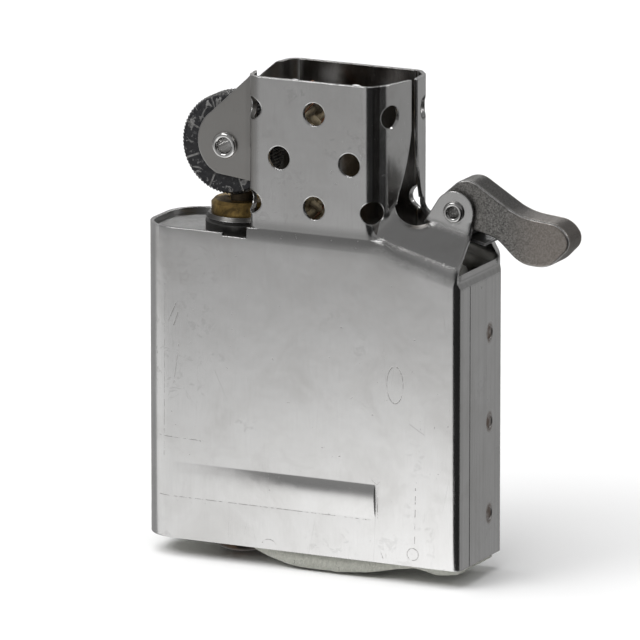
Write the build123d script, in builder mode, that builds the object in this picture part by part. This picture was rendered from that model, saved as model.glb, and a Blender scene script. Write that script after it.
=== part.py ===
from build123d import *
import os
from math import atan2, cos, degrees, radians, sin, sqrt, tan

# Insert of a flip-top petrol lighter: a sheet-steel tank with a perforated chimney,
# a flint wheel at its left, a lid cam at its right and a felt pad under it.
# Millimetres. +Z up, +X towards the cam, -Y is the front.
# The origin is on the felt's resting face, under the middle of the tank.

# ---------------------------------------------------------------- tank and chimney
TANK_W = 36.0            # outside width of the tank
TANK_D = 10.5            # outside depth of the tank
SHEET = 0.4              # thickness of the stainless sheet
FIT = 0.02               # gap between pieces that are pressed or welded together
TANK_BASE = 2.0          # height of the tank's open bottom edge over the felt's face
RIM_Z = 34.3             # rim of the tank round its left end
CREASE_Z = 35.1          # where the front sheet turns from tank to chimney
WALL_TOP_Z = 30.9        # top of the right-hand end wall
LEFT_R = 3.9             # plan radius of the left-hand corners
RIGHT_R = 0.9            # plan radius of the right-hand corners
CHIMNEY_TOP_Z = 50.7
CHIMNEY_STEP = 0.15      # how far the chimney stands back from the tank's face
CHIMNEY_LEFT_X = -4.4    # where the chimney's front starts to curl in
BEND_R = 1.2             # outside radius of the chimney's and shoulders' bends
HOLE_R = 1.2             # radius of the wind holes
HOLE_X = 1.8             # middle column of wind holes
HOLE_PITCH_X = 3.9
HOLE_Z = 42.6            # middle row of wind holes
HOLE_PITCH_Z = 4.8

# Retention bumps: heights of their edges, and how far they stand out at each place along X
BUMP_LOW = 6.5
BUMP_HIGH = 10.0
BUMP_STATIONS = [(-14.0, 0.02), (-7.0, 0.11), (0.0, 0.28), (8.7, 0.28)]

EAR_Y = 2.14             # outer face of all four ears, from the middle plane
FRONT_Y = TANK_D / 2
CHIMNEY_Y = FRONT_Y - CHIMNEY_STEP
# Plan of the chimney's end wall, drawn for the front: its corner with the front wall,
# its middle bend and its free edge. The back half bulges out a little more.
FRONT_END_WALL = ((7.9, -CHIMNEY_Y), (9.1, -3.4), (10.15, 0.1))
BACK_END_WALL = ((8.9, -CHIMNEY_Y), (10.2, -3.4), (10.45, -0.85))
KEYHOLE_X = 11.3         # middle of the keyhole's round foot
KEYHOLE_R = 3.0
KEYHOLE_WAIST_Z = 38.3   # where its sides start to draw together
KEYHOLE_TOP_Z = 45.6

# ---------------------------------------------------------------- shoulders and cam ears
SHOULDER_END_X = 17.65
SHOULDER_FALL = 0.27     # how much a shoulder falls towards the right, per millimetre
SHOULDER_FOOT_Z = 32.8   # fold between the front and the shoulder, at its right-hand end
RIDGE_END_Z = 35.9       # fold between the shoulder and the cam ear, at its right-hand end
SHOULDER_RISE = (RIDGE_END_Z - SHOULDER_FOOT_Z) / (CHIMNEY_Y - EAR_Y)
# Line along which the tank's flat wall ends: under the chimney, then under the shoulder
FOOT_LINE = [(-5.7, CREASE_Z), (9.4, CREASE_Z), (10.9, 34.15), (SHOULDER_END_X, 32.3)]

# ---------------------------------------------------------------- wheel, cam, rivets
WHEEL_X = -9.6
WHEEL_Z = 42.6
WHEEL_R = 5.2
WHEEL_T = 3.3
WHEEL_TEETH = 84
WHEEL_BORE_R = 1.07
WHEEL_RIVET_R = 1.0
CAM_X = 15.9
CAM_Z = 38.2
CAM_T = 3.3
CAM_BORE_R = 0.87
CAM_RIVET_R = 0.8
EAR_CAM_R = 2.1

# ---------------------------------------------------------------- flint and its tube
TUBE_X = -8.6
TUBE_R = 2.1
TUBE_BORE_R = 1.33
TUBE_BASE_Z = 4.55
THREAD_R = 1.65          # bore of the tube's threaded foot
THREAD_TOP_Z = 8.1
FLANGE_R = 3.85
COLLAR_R = 3.25
FLANGE_Z = 35.5          # top of the steel flange, where the brass collar starts
COLLAR_Z = 36.9
FLINT_R = 1.25
FLINT_BASE_Z = 32.9
SCREW_HEAD_R = 3.15

# ---------------------------------------------------------------- plate, wick, felt, cotton
PLATE_TOP_Z = 33.7
PLATE_T = 0.5
PLATE_RIGHT_X = 9.2
WICK_X = -0.7
WICK_R = 1.5
WICK_BASE_Z = 8.0
WICK_TOP_Z = 49.0
WIRE_R = 0.15
WIRE_COUNT = 3
FELT_T = 3.0
FELT_SPLIT_X = 4.0       # line along which the free end folds down
FELT_TUCK_X = -4.8       # left of here the felt is tucked up inside the tank
FELT_TUCK_Z = 2.1
FELT_EDGE = 0.3          # felt's clearance inside the tank
WAD_HALF_Y = 4.4

TANK_INNER_X = TANK_W / 2 - SHEET
os.makedirs("parts", exist_ok=True)


def save(piece, name):
    """Label a finished sub-part and write its STEP file."""
    piece.part.label = name
    export_step(piece.part, f"parts/{name}.step")


def tank_plan(inset):
    """Plan of the tank, drawn inset from its outer face."""
    with BuildSketch(mode=Mode.PRIVATE) as plan:
        Rectangle(TANK_W - 2 * inset, TANK_D - 2 * inset)
        left = plan.vertices().group_by(Axis.X)[0]
        fillet(left, LEFT_R - inset)
        right = plan.vertices().group_by(Axis.X)[-1]
        fillet(right, max(RIGHT_R - inset, 0.3))
    return plan.sketch


def ridge_z(x):
    """Height of the fold between a shoulder and its cam ear."""
    return RIDGE_END_Z + SHOULDER_FALL * (SHOULDER_END_X - x)


# Left part of the chimney's front half with its wheel ear. The back is its mirror image.
CURL_R = (CHIMNEY_Y - EAR_Y) / 2
with BuildPart() as chimney_left:
    with BuildSketch(Plane.XY.offset(CREASE_Z - 0.8)):
        with BuildLine():
            Line((0, -CHIMNEY_Y), (CHIMNEY_LEFT_X, -CHIMNEY_Y))
            curl = JernArc((CHIMNEY_LEFT_X, -CHIMNEY_Y), (-1, 0), CURL_R, -90)
            back_curl = JernArc(curl @ 1, (0, 1), CURL_R, 90)
            Line(back_curl @ 1, (-13.2, -EAR_Y))
            offset(amount=SHEET, side=Side.RIGHT)
        make_face()
    extrude(amount=CHIMNEY_TOP_Z - CREASE_Z + 0.8)
    # Side outline: the chimney's front, and the wheel ear with its sloping top edge.
    with BuildSketch(Plane.XZ.offset(-1)):
        with BuildLine():
            curl_x = CHIMNEY_LEFT_X - CURL_R + 0.08
            Polyline(
                (-11.2, 45.9),
                (-6.05, CHIMNEY_TOP_Z),
                (1, CHIMNEY_TOP_Z),
                (1, CREASE_Z - 0.8),
                (curl_x, CREASE_Z - 0.8),
                (curl_x, 39.1),
                (-10.55, 39.65),
            )
            ThreePointArc((-10.55, 39.65), (-12.66, 42.9), (-11.2, 45.9))
        make_face()
    extrude(amount=8, mode=Mode.INTERSECT)


def bent_form(end_wall, inset):
    """Solid bounded by the outer face of the bent sheet, or by its inner face when inset.

    It joins the right part of the chimney, with its end wall, to the sloping shoulder.
    All the bends between them share one radius.
    """
    corner, bend, edge = (Vector(point) for point in end_wall)
    beyond = edge + (edge - bend).normalized() * 2
    left_x = corner.X - 12
    slant = sqrt(1 + SHOULDER_FALL**2 + SHOULDER_RISE**2)
    with BuildPart() as form:
        # Chimney
        with BuildSketch(Plane.XY.offset(CREASE_Z - 6)):
            Polygon(
                (left_x, -CHIMNEY_Y),
                (corner.X, corner.Y),
                (bend.X, bend.Y),
                (beyond.X, beyond.Y),
                (left_x, beyond.Y),
                align=None,
            )
            offset(amount=-inset, kind=Kind.INTERSECTION)
            with Locations((0, 11)):
                Rectangle(60, 20, mode=Mode.SUBTRACT)
        extrude(amount=CHIMNEY_TOP_Z - CREASE_Z + 6 + 2 * inset)
        # Shoulder: its end-on section, swept down the slope
        start_x = corner.X - 3
        length = SHOULDER_END_X - start_x + 2 * inset
        fold_y = -CHIMNEY_Y + inset
        fold_z = SHOULDER_FOOT_Z - inset * (slant - SHOULDER_RISE)
        fold_z += SHOULDER_FALL * (SHOULDER_END_X - start_x)
        with BuildSketch(Plane.YZ.offset(start_x)):
            Polygon(
                (1, fold_z - 8),
                (fold_y, fold_z - 8),
                (fold_y, fold_z),
                (1, fold_z + SHOULDER_RISE * (1 - fold_y)),
                align=None,
            )
        extrude(amount=length * sqrt(1 + SHOULDER_FALL**2), dir=(1, 0, -SHOULDER_FALL))
        slope = form.faces().filter_by(lambda face: face.normal_at().Z > 0.5)
        slope = slope.sort_by(lambda face: face.normal_at().Y)[0]
        folds = slope.edges().filter_by(lambda line: (line @ 0.5).X < SHOULDER_END_X - 1)
        folds = folds.filter_by(lambda line: (line @ 0.5).Y < 0.5)
        uprights = form.edges().filter_by(Axis.Z)
        uprights = uprights.filter_by(lambda line: line.center().X > corner.X - 1)
        uprights = uprights.filter_by(lambda line: line.center().Y < bend.Y + 1)
        uprights = uprights.filter_by(lambda line: line.center().Z > CREASE_Z + 4)
        fillet(folds + uprights, BEND_R - inset)
    return form.part


def right_half(end_wall):
    """Right part of the chimney and its shoulder, for the front."""
    edge_y = end_wall[2][1]
    outer = bent_form(end_wall, 0)
    inner = bent_form(end_wall, SHEET)
    with BuildPart() as half:
        add(outer)
        add(inner, mode=Mode.SUBTRACT)
        # Side outline of the chimney and the shoulder
        with BuildSketch(Plane.XZ.offset(-1)):
            Polygon(
                (0, CHIMNEY_TOP_Z),
                (0, CREASE_Z - 0.8),
                *[(x, z - 0.8) for x, z in FOOT_LINE[1:]],
                (SHOULDER_END_X, RIDGE_END_Z + 0.1),
                (12.2, 40.5),
                (12.2, CHIMNEY_TOP_Z),
                align=None,
            )
        extrude(amount=8, mode=Mode.INTERSECT)
        # The end wall stops at the slot.
        with BuildSketch(Plane.XY.offset(30)):
            with Locations((10, edge_y + 5)):
                Rectangle(30, 10)
        extrude(amount=30, mode=Mode.SUBTRACT)
        # Keyhole: a round foot in the shoulder, with sides that draw together above it
        with BuildSketch(Plane.XY.offset(30)):
            with Locations((KEYHOLE_X, 0)):
                Circle(KEYHOLE_R)
        extrude(amount=KEYHOLE_WAIST_Z - 30, mode=Mode.SUBTRACT)
        with BuildSketch(Plane.YZ.offset(8)):
            with BuildLine():
                waist = (-2.25, KEYHOLE_WAIST_Z)
                tip = (edge_y, KEYHOLE_TOP_Z)
                ThreePointArc(waist, ((edge_y - 2.0) / 2, 41.2), tip)
                Polyline(tip, (2, KEYHOLE_TOP_Z), (2, KEYHOLE_WAIST_Z), waist)
            make_face()
        extrude(amount=4.2, mode=Mode.SUBTRACT)
        # Open gap between the cam ears
        with BuildSketch(Plane.XY.offset(30)):
            with Locations((15.6, 0)):
                Rectangle(7.2, 2 * (EAR_Y - 0.1))
        extrude(amount=12, mode=Mode.SUBTRACT)
        # Cam ear
        with BuildSketch(Plane.XZ.offset(EAR_Y)):
            Polygon(
                (12.6, ridge_z(12.6) - 0.35),
                (14.2, 39.45),
                (CAM_X, CAM_Z),
                (CAM_X + EAR_CAM_R, CAM_Z),
                (SHOULDER_END_X, ridge_z(SHOULDER_END_X) - 0.35),
                align=None,
            )
            with Locations((CAM_X, CAM_Z)):
                Circle(EAR_CAM_R)
                Circle(CAM_RIVET_R + FIT, mode=Mode.SUBTRACT)
        extrude(amount=-SHEET)
    return half.part


TOP_ROW = HOLE_Z + HOLE_PITCH_Z
LOW_ROW = HOLE_Z - HOLE_PITCH_Z


def wind_holes(end_wall):
    """Wind holes of one side: x, y of a point on the wall, direction it faces, height."""
    corner, bend, edge = (Vector(point) for point in end_wall)
    curl_angle = 40
    hole_curl_x = CHIMNEY_LEFT_X - CURL_R * sin(radians(curl_angle))
    hole_curl_y = -CHIMNEY_Y + CURL_R * (1 - cos(radians(curl_angle)))
    facing = degrees(atan2(edge.Y - bend.Y, edge.X - bend.X))
    return [
        (HOLE_X, -CHIMNEY_Y, 0, TOP_ROW),
        (HOLE_X - HOLE_PITCH_X, -CHIMNEY_Y, 0, HOLE_Z),
        (HOLE_X + HOLE_PITCH_X, -CHIMNEY_Y, 0, HOLE_Z),
        (HOLE_X, -CHIMNEY_Y, 0, LOW_ROW),
        (hole_curl_x, hole_curl_y, -curl_angle, TOP_ROW),
        (hole_curl_x, hole_curl_y, -curl_angle, LOW_ROW),
        (corner.X + 0.25, corner.Y + 0.4, 36, LOW_ROW),
        (bend.X + 0.15, bend.Y + 0.5, facing - 6, TOP_ROW),
    ]


front_half = right_half(FRONT_END_WALL)
back_half = right_half(BACK_END_WALL)
with BuildPart() as tank_body:
    # Wrapped wall of the tank
    with BuildSketch(Plane.XY.offset(TANK_BASE)) as wall_plan:
        add(tank_plan(0))
        add(tank_plan(SHEET), mode=Mode.SUBTRACT)
    extrude(amount=CREASE_Z - TANK_BASE)
    # Second layer of sheet inside the right-hand wall, where the two ends lap
    with Locations((TANK_INNER_X - SHEET / 2, 0.2, (TANK_BASE + WALL_TOP_Z) / 2)):
        Box(SHEET, 7.0, WALL_TOP_Z - TANK_BASE)
    # Top edge, seen from the front: rim, chimney foot, shoulder, low right-hand wall
    with BuildSketch(Plane.XZ.offset(-10)):
        Polygon(
            (-20, RIM_Z),
            (-8.4, RIM_Z),
            (-8.4, RIM_Z - 0.3),
            (-5.7, RIM_Z - 0.3),
            *FOOT_LINE,
            (SHOULDER_END_X, WALL_TOP_Z + 0.7),
            (TANK_W / 2 - 0.05, WALL_TOP_Z),
            (20, WALL_TOP_Z),
            (20, 40),
            (-20, 40),
            align=None,
        )
    extrude(amount=20, mode=Mode.SUBTRACT)
    # The sheet leans in gently below the chimney and the shoulders.
    for side in (-1, 1):
        for line_start, line_end in zip(FOOT_LINE, FOOT_LINE[1:]):
            for x, z in (line_start, line_end):
                with BuildSketch(Plane.YZ.offset(x)):
                    with BuildLine():
                        foot = (side * FRONT_Y, z - 1.6)
                        top = (side * CHIMNEY_Y, z)
                        ThreePointArc(foot, (side * (FRONT_Y - 0.04), z - 0.7), top)
                        Polyline(top, (side * (FRONT_Y + 0.3), z), foot)
                    make_face()
            loft(ruled=True, mode=Mode.SUBTRACT)
    # Chimney, ears and shoulders, front and back
    add(chimney_left.part)
    add(chimney_left.part.mirror(Plane.XZ))
    add(front_half)
    add(back_half.mirror(Plane.XZ))
    # Wind holes
    for end_wall, side in ((FRONT_END_WALL, 1), (BACK_END_WALL, -1)):
        for x, y, angle, z in wind_holes(end_wall):
            facing = (sin(radians(angle)), -side * cos(radians(angle)), 0)
            with BuildSketch(Plane(origin=(x, side * y, z), z_dir=facing)):
                Circle(HOLE_R)
            extrude(amount=1.2, both=True, mode=Mode.SUBTRACT)
    # Rivet holes of the wheel ears
    with BuildSketch(Plane.XZ.offset(-5)):
        with Locations((WHEEL_X, WHEEL_Z)):
            Circle(WHEEL_RIVET_R + FIT)
    extrude(amount=10, mode=Mode.SUBTRACT)
    # Pressed-out retention bumps that grip the outer case: rounded, rising slowly to the right
    for side in (-1, 1):
        for ends in zip(BUMP_STATIONS, BUMP_STATIONS[1:]):
            for x, out in ends:
                with BuildSketch(Plane.YZ.offset(x)):
                    with BuildLine():
                        ThreePointArc(
                            (side * FRONT_Y, BUMP_LOW),
                            (side * (FRONT_Y + out), (BUMP_LOW + BUMP_HIGH) / 2),
                            (side * FRONT_Y, BUMP_HIGH),
                        )
                        Polyline(
                            (side * FRONT_Y, BUMP_HIGH),
                            (side * (FRONT_Y - 0.1), BUMP_HIGH),
                            (side * (FRONT_Y - 0.1), BUMP_LOW),
                            (side * FRONT_Y, BUMP_LOW),
                        )
                    make_face()
            loft(ruled=True)
    # Edge of the outer lap on the right-hand wall
    with Locations((TANK_W / 2, -2.73, (TANK_BASE + WALL_TOP_Z) / 2)):
        Box(0.16, 0.12, WALL_TOP_Z - TANK_BASE, mode=Mode.SUBTRACT)
    # Spot welds
    with BuildSketch(Plane.YZ.offset(TANK_W / 2 - 0.08)):
        with Locations((1.9, 25.2), (1.9, 16.0), (1.9, 6.5)):
            Circle(0.7)
    extrude(amount=1, mode=Mode.SUBTRACT)
save(tank_body, "tank_body")

# Plate welded inside the rim: it closes the tank and carries the tube and the wick.
with BuildPart() as top_plate:
    with BuildSketch(Plane.XY.offset(PLATE_TOP_Z - PLATE_T)):
        add(tank_plan(SHEET + FIT))
        with Locations((PLATE_RIGHT_X + 10, 0)):
            Rectangle(20, TANK_D, mode=Mode.SUBTRACT)
        with Locations((TUBE_X, 0)):
            Circle(TUBE_R + FIT, mode=Mode.SUBTRACT)
        with Locations((WICK_X, 0)):
            Circle(WICK_R + 0.25, mode=Mode.SUBTRACT)
    extrude(amount=PLATE_T)
save(top_plate, "top_plate")

# Steel flange, pressed on the tube, in two steps with a groove between them
with BuildPart() as tube_flange:
    with BuildSketch(Plane.XZ):
        with BuildLine():
            Polyline(
                (TUBE_X + TUBE_R + FIT, PLATE_TOP_Z),
                (TUBE_X + FLANGE_R, PLATE_TOP_Z),
                (TUBE_X + FLANGE_R, PLATE_TOP_Z + 1.0),
                (TUBE_X + FLANGE_R - 0.25, PLATE_TOP_Z + 1.2),
                (TUBE_X + FLANGE_R - 0.05, PLATE_TOP_Z + 1.4),
                (TUBE_X + FLANGE_R - 0.3, FLANGE_Z),
                (TUBE_X + TUBE_R + FIT, FLANGE_Z),
                close=True,
            )
        make_face()
    revolve(axis=Axis((TUBE_X, 0, 0), (0, 0, 1)))
save(tube_flange, "tube_flange")

# Brass flint tube: a collar at its top and a threaded foot
with BuildPart() as flint_tube:
    with BuildSketch(Plane.XZ):
        with BuildLine():
            Polyline(
                (TUBE_X + TUBE_BORE_R, THREAD_TOP_Z),
                (TUBE_X + THREAD_R, THREAD_TOP_Z),
                (TUBE_X + THREAD_R, TUBE_BASE_Z),
                (TUBE_X + TUBE_R, TUBE_BASE_Z),
                (TUBE_X + TUBE_R, FLANGE_Z),
                (TUBE_X + COLLAR_R, FLANGE_Z),
                (TUBE_X + COLLAR_R, COLLAR_Z - 0.35),
                (TUBE_X + COLLAR_R - 0.35, COLLAR_Z),
                (TUBE_X + TUBE_BORE_R + 0.4, COLLAR_Z),
                (TUBE_X + TUBE_BORE_R, COLLAR_Z - 0.4),
                close=True,
            )
        make_face()
    revolve(axis=Axis((TUBE_X, 0, 0), (0, 0, 1)))
save(flint_tube, "flint_tube")

# Flint, its top worn to the wheel's radius
with BuildPart() as flint:
    with BuildSketch(Plane.XY.offset(FLINT_BASE_Z)):
        with Locations((TUBE_X, 0)):
            Circle(FLINT_R)
    extrude(amount=5.2)
    with BuildSketch(Plane.XZ.offset(-5)):
        with Locations((WHEEL_X, WHEEL_Z)):
            Circle(WHEEL_R + 0.06)
    extrude(amount=10, mode=Mode.SUBTRACT)
save(flint, "flint")

# Tip that the spring carries against the flint
SPRING_TOP_Z = 32.0
SPRING_BASE_Z = THREAD_TOP_Z
with BuildPart() as flint_spring_tip:
    with BuildSketch(Plane.XY.offset(SPRING_TOP_Z + FIT)):
        with Locations((TUBE_X, 0)):
            Circle(1.2)
    extrude(amount=FLINT_BASE_Z - SPRING_TOP_Z - 2 * FIT)
    with BuildSketch(Plane.XY.offset(SPRING_TOP_Z + FIT)):
        with Locations((TUBE_X, 0)):
            Circle(0.6)
    extrude(amount=-2.0)
    chamfer(flint_spring_tip.edges().group_by(Axis.Z)[-1], 0.2)
save(flint_spring_tip, "flint_spring_tip")

# Long flint spring
SPRING_R = 0.95
SPRING_WIRE_R = 0.15
SPRING_TURNS = 15
with BuildPart() as flint_spring:
    spring_height = SPRING_TOP_Z - SPRING_BASE_Z - 2 * SPRING_WIRE_R - 2 * FIT
    spring_foot = SPRING_BASE_Z + SPRING_WIRE_R + FIT
    with BuildLine() as spring_line:
        Helix(
            pitch=spring_height / SPRING_TURNS,
            height=spring_height,
            radius=SPRING_R,
            center=(TUBE_X, 0, spring_foot),
        )
    with BuildSketch(Plane(origin=spring_line.line @ 0, z_dir=spring_line.line % 0)):
        Circle(SPRING_WIRE_R)
    sweep(is_frenet=True)
save(flint_spring, "flint_spring")

# Brass flint screw: knurled domed head with a coin slot
with BuildPart() as flint_screw:
    with BuildSketch(Plane.XZ):
        with BuildLine():
            Line((TUBE_X, 0.5), (TUBE_X + 1.2, 0.5))
            ThreePointArc((TUBE_X + 1.2, 0.5), (TUBE_X + 2.6, 0.85), (TUBE_X + SCREW_HEAD_R, 1.6))
            Polyline(
                (TUBE_X + SCREW_HEAD_R, 1.6),
                (TUBE_X + SCREW_HEAD_R, 4.5),
                (TUBE_X + THREAD_R - 0.05, 4.5),
                (TUBE_X + THREAD_R - 0.05, THREAD_TOP_Z - 0.05),
                (TUBE_X, THREAD_TOP_Z - 0.05),
                (TUBE_X, 0.5),
            )
        make_face()
    revolve(axis=Axis((TUBE_X, 0, 0), (0, 0, 1)))
    with BuildSketch(Plane.XY.offset(0)):
        with Locations((TUBE_X, 0)):
            Rectangle(7, 0.8)
    extrude(amount=1.5, mode=Mode.SUBTRACT)
    with BuildSketch(Plane.XY.offset(0)):
        with Locations((TUBE_X, 0)):
            with PolarLocations(SCREW_HEAD_R, 32):
                Circle(0.12)
    extrude(amount=4.0, mode=Mode.SUBTRACT)
save(flint_screw, "flint_screw")

# Striker wheel: cross-cut teeth, a raised boss on each side
with BuildPart() as striker_wheel:
    with BuildSketch(Plane.XZ.offset(-WHEEL_T / 2)):
        with Locations((WHEEL_X, WHEEL_Z)):
            Circle(WHEEL_R)
            Circle(WHEEL_BORE_R, mode=Mode.SUBTRACT)
            with PolarLocations(WHEEL_R + 0.02, WHEEL_TEETH):
                Polygon((0, 0.17), (0, -0.17), (-0.28, 0), align=None, mode=Mode.SUBTRACT)
    extrude(amount=WHEEL_T)
    # Grooves round the rim that cut the teeth across
    with BuildSketch(Plane.YZ.offset(WHEEL_X)) as ring_grooves:
        for y in (-1.1, -0.55, 0, 0.55, 1.1):
            with Locations((y, WHEEL_Z + WHEEL_R + 0.02)):
                Polygon((0.13, 0), (-0.13, 0), (0, -0.26), align=None)
    wheel_axis = Axis((WHEEL_X, 0, WHEEL_Z), (0, 1, 0))
    revolve(axis=wheel_axis, mode=Mode.SUBTRACT)
    # Bevel round each face
    with BuildSketch(Plane.YZ.offset(WHEEL_X)):
        for side in (-1, 1):
            with Locations((side * WHEEL_T / 2, WHEEL_Z + WHEEL_R)):
                Polygon((side * 0.05, 0.05), (-side * 0.45, 0.05), (side * 0.05, -0.35), align=None)
    revolve(axis=wheel_axis, mode=Mode.SUBTRACT)
    # Scored lines across each face
    for side in (-1, 1):
        with BuildSketch(Plane.XZ.offset(side * WHEEL_T / 2)):
            with Locations((WHEEL_X, WHEEL_Z)):
                with PolarLocations(0, 4, start_angle=21, angular_range=180):
                    Rectangle(2 * WHEEL_R, 0.13)
        extrude(amount=0.07, both=True, mode=Mode.SUBTRACT)
save(striker_wheel, "striker_wheel")


def hollow_rivet(x, z, shank_r, bore_r, head_r):
    """Tubular rivet through a pair of ears, with a rolled head on each side."""
    half = EAR_Y + 0.01
    with BuildPart() as rivet:
        with BuildSketch(Plane.XY.offset(z)):
            with BuildLine():
                Polyline(
                    (x + shank_r, half),
                    (x + shank_r, -half),
                    (x + head_r, -half),
                    (x + head_r, -half - 0.12),
                )
                ThreePointArc(
                    (x + head_r, -half - 0.12),
                    (x + (head_r + bore_r) / 2, -half - 0.38),
                    (x + bore_r, -half - 0.1),
                )
                Line((x + bore_r, -half - 0.1), (x + bore_r, half + 0.1))
                ThreePointArc(
                    (x + bore_r, half + 0.1),
                    (x + (head_r + bore_r) / 2, half + 0.38),
                    (x + head_r, half + 0.12),
                )
                Polyline((x + head_r, half + 0.12), (x + head_r, half), (x + shank_r, half))
            make_face()
        revolve(axis=Axis((x, 0, z), (0, 1, 0)))
    return rivet


wheel_rivet = hollow_rivet(WHEEL_X, WHEEL_Z, WHEEL_RIVET_R, 0.75, 1.38)
save(wheel_rivet, "wheel_rivet")
cam_rivet = hollow_rivet(CAM_X, CAM_Z, CAM_RIVET_R, 0.55, 1.1)
save(cam_rivet, "cam_rivet")

# Lid cam: hub with a flat heel, a waisted arm and a broad rounded end.
# Corners of its outline from the pivot, each with its rounding.
HUB_R = 2.16
HEEL_ANGLE = 256.8       # direction the heel's flat faces
BROW_ANGLE = 130         # where the outline leaves the hub's circle
CAM_CORNERS = [
    ((0.95, 3.75), 2.0),
    ((6.9, 0.1), 7.0),
    ((11.5, -0.35), 2.4),
    ((12.75, -2.3), 1.4),
    ((10.2, -4.95), 3.0),
    ((7.0, -4.8), 3.4),
    ((4.4, -2.4), 3.0),
    ((1.75, -1.75), 0.3),
    ((1.4, -2.548), 0.35),
]


def hub_point(angle):
    """Point on the cam's hub circle."""
    return (CAM_X + HUB_R * cos(radians(angle)), CAM_Z + HUB_R * sin(radians(angle)))


with BuildPart() as cam:
    with BuildSketch(Plane.XZ.offset(-CAM_T / 2)):
        with BuildLine():
            FilletPolyline(
                hub_point(BROW_ANGLE),
                *[(CAM_X + dx, CAM_Z + dz) for (dx, dz), _ in CAM_CORNERS],
                hub_point(HEEL_ANGLE),
                radius=[radius for _, radius in CAM_CORNERS],
            )
            ThreePointArc(hub_point(HEEL_ANGLE), hub_point(190), hub_point(BROW_ANGLE))
        make_face()
    extrude(amount=CAM_T)
    for face in (cam.faces().sort_by(Axis.Y)[0], cam.faces().sort_by(Axis.Y)[-1]):
        fillet(face.outer_wire().edges(), 0.28)
    with BuildSketch(Plane.XZ.offset(-CAM_T)):
        with Locations((CAM_X, CAM_Z)):
            Circle(CAM_BORE_R)
    extrude(amount=2 * CAM_T, mode=Mode.SUBTRACT)
save(cam, "cam")

# Leaf spring that the cam's heel rests on. Its foot is welded under the end of the top plate.
LEAF_T = 0.3
LEAF_HALF = 1.5
LEAF_SLOPE = tan(radians(HEEL_ANGLE - 270))
LEAF_DROP = (HUB_R + 0.05 + LEAF_T) / cos(radians(HEEL_ANGLE - 270))
LEAF_BEND_X = 13.4
LEAF_END_X = 19.0


def leaf_z(x):
    """Height of the leaf's underside below the cam's heel."""
    return CAM_Z - LEAF_DROP + LEAF_SLOPE * (x - CAM_X)


with BuildPart() as cam_spring:
    with BuildSketch(Plane.XZ.offset(-LEAF_HALF)):
        with BuildLine():
            FilletPolyline(
                (PLATE_RIGHT_X - 1.6, PLATE_TOP_Z - PLATE_T - LEAF_T - FIT),
                (PLATE_RIGHT_X + 2.4, PLATE_TOP_Z - PLATE_T - LEAF_T - FIT),
                (LEAF_BEND_X, leaf_z(LEAF_BEND_X)),
                (LEAF_END_X, leaf_z(LEAF_END_X)),
                radius=1.2,
            )
            offset(amount=LEAF_T, side=Side.LEFT)
        make_face()
    extrude(amount=2 * LEAF_HALF)
save(cam_spring, "cam_spring")

# Braided wick with grooves for its wires
with BuildPart() as wick:
    with BuildSketch(Plane.XY.offset(WICK_BASE_Z)):
        with Locations((WICK_X, 0)):
            Circle(WICK_R)
            with PolarLocations(WICK_R - 0.1, WIRE_COUNT, start_angle=30):
                Circle(WIRE_R + FIT, mode=Mode.SUBTRACT)
    extrude(amount=WICK_TOP_Z - WICK_BASE_Z)
save(wick, "wick")

with BuildPart() as wick_wire:
    with BuildSketch(Plane.XY.offset(WICK_BASE_Z)):
        with Locations((WICK_X, 0)):
            with PolarLocations(WICK_R - 0.1, WIRE_COUNT, start_angle=30):
                Circle(WIRE_R)
    extrude(amount=WICK_TOP_Z - WICK_BASE_Z + 0.4)
save(wick_wire, "wick_wire")

# Felt pad, held by the flint screw at its left and free at its right
with BuildPart() as felt_pad:
    with BuildSketch(Plane.XY):
        add(tank_plan(SHEET + FELT_EDGE))
        with Locations((FELT_SPLIT_X + 20, 0)):
            Rectangle(40, TANK_D, mode=Mode.SUBTRACT)
        with Locations((TUBE_X, 0)):
            Circle(SCREW_HEAD_R + 0.3, mode=Mode.SUBTRACT)
    extrude(amount=8)
    with BuildSketch(Plane.XZ.offset(-10)) as felt_side:
        with BuildLine():
            Polyline(
                (-20, FELT_TUCK_Z),
                (FELT_TUCK_X, FELT_TUCK_Z),
                (FELT_TUCK_X + 1.2, 0),
                (FELT_SPLIT_X, 0),
                (FELT_SPLIT_X, FELT_T),
                (FELT_TUCK_X + 1.8, FELT_T),
                (FELT_TUCK_X + 0.6, FELT_TUCK_Z + FELT_T),
                (-20, FELT_TUCK_Z + FELT_T),
                close=True,
            )
        make_face()
    extrude(amount=20, mode=Mode.INTERSECT)
save(felt_pad, "felt_pad")

with BuildPart() as felt_flap:
    with BuildSketch(Plane.XY):
        add(tank_plan(SHEET + FELT_EDGE + 0.1))
        with Locations((FELT_SPLIT_X + 0.06 - 20, 0)):
            Rectangle(40, TANK_D, mode=Mode.SUBTRACT)
        with Locations((TANK_W / 2, 0)):
            Rectangle(2 * (SHEET + SHEET + FELT_EDGE), TANK_D, mode=Mode.SUBTRACT)
    extrude(amount=FELT_T)
save(felt_flap, "felt_flap")

# Cotton wads: one beside the flint tube, four stacked round the wick
with BuildPart() as cotton_wad_1:
    with Locations((-14.0, 0, 19.5)):
        Box(5.4, 2 * (WAD_HALF_Y - 0.9), 26)
    fillet(cotton_wad_1.edges(), 1.2)
save(cotton_wad_1, "cotton_wad_1")

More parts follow.
